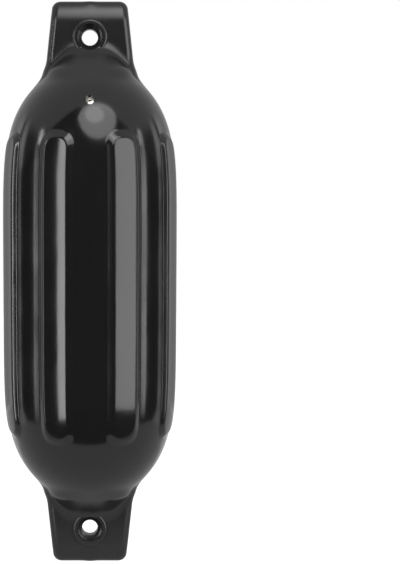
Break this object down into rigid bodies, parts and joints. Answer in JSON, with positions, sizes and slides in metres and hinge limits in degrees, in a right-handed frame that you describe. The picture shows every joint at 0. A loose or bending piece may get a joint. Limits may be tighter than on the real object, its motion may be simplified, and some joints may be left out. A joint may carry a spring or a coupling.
{
  "type": "inflatable boat fender",
  "caption": "Long ribbed inflatable boat fender in black vinyl, with a flat rope eye at each end and a recessed needle valve on the top dome.",
  "frame": {"origin": "centre of the fender, half way between the two tips", "axes": "+Z along the fender towards the eye beside the valve, -Y out of the tab faces on the valve's side, +X to the right when looking along +Y"},
  "size_m": [0.2092, 0.2092, 0.686],
  "materials": {
    "vinyl": "gloss",
    "plated_metal": "satin",
    "rubber": "matte"
  },
  "bodies": {
    "root": {"fender_body": "vinyl", "valve_bush": "plated_metal", "valve_core": "rubber"}
  },
  "joints": []
}
